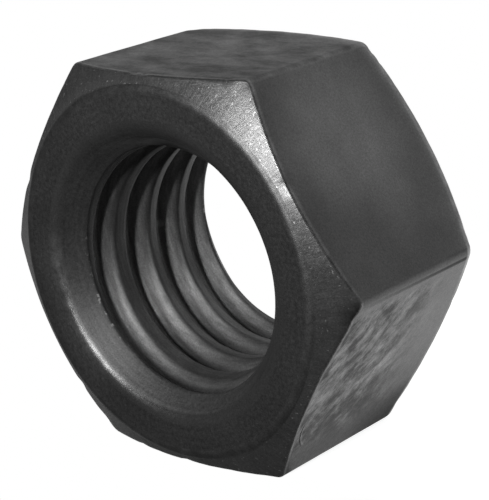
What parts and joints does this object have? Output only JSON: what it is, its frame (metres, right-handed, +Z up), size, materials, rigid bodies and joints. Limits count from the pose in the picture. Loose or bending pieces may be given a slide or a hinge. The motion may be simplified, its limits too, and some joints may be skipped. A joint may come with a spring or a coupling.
{
  "type": "hex nut",
  "caption": "Plain hexagonal steel nut with a right-hand internal thread, countersunk at both ends, and chamfered corners on both faces.",
  "frame": {"origin": "on the thread axis at mid thickness, which is the centre of the bounding box", "axes": "+Y along the thread axis from the front bearing face to the back one, +Z up, at right angles to the flat the nut stands on, +X toward a corner"},
  "size_m": [0.0162, 0.008, 0.0142],
  "materials": {
    "dark_steel": "dark oxide scale, lightly oiled, satin"
  },
  "bodies": {
    "root": {"nut_body": "dark_steel"}
  },
  "joints": []
}
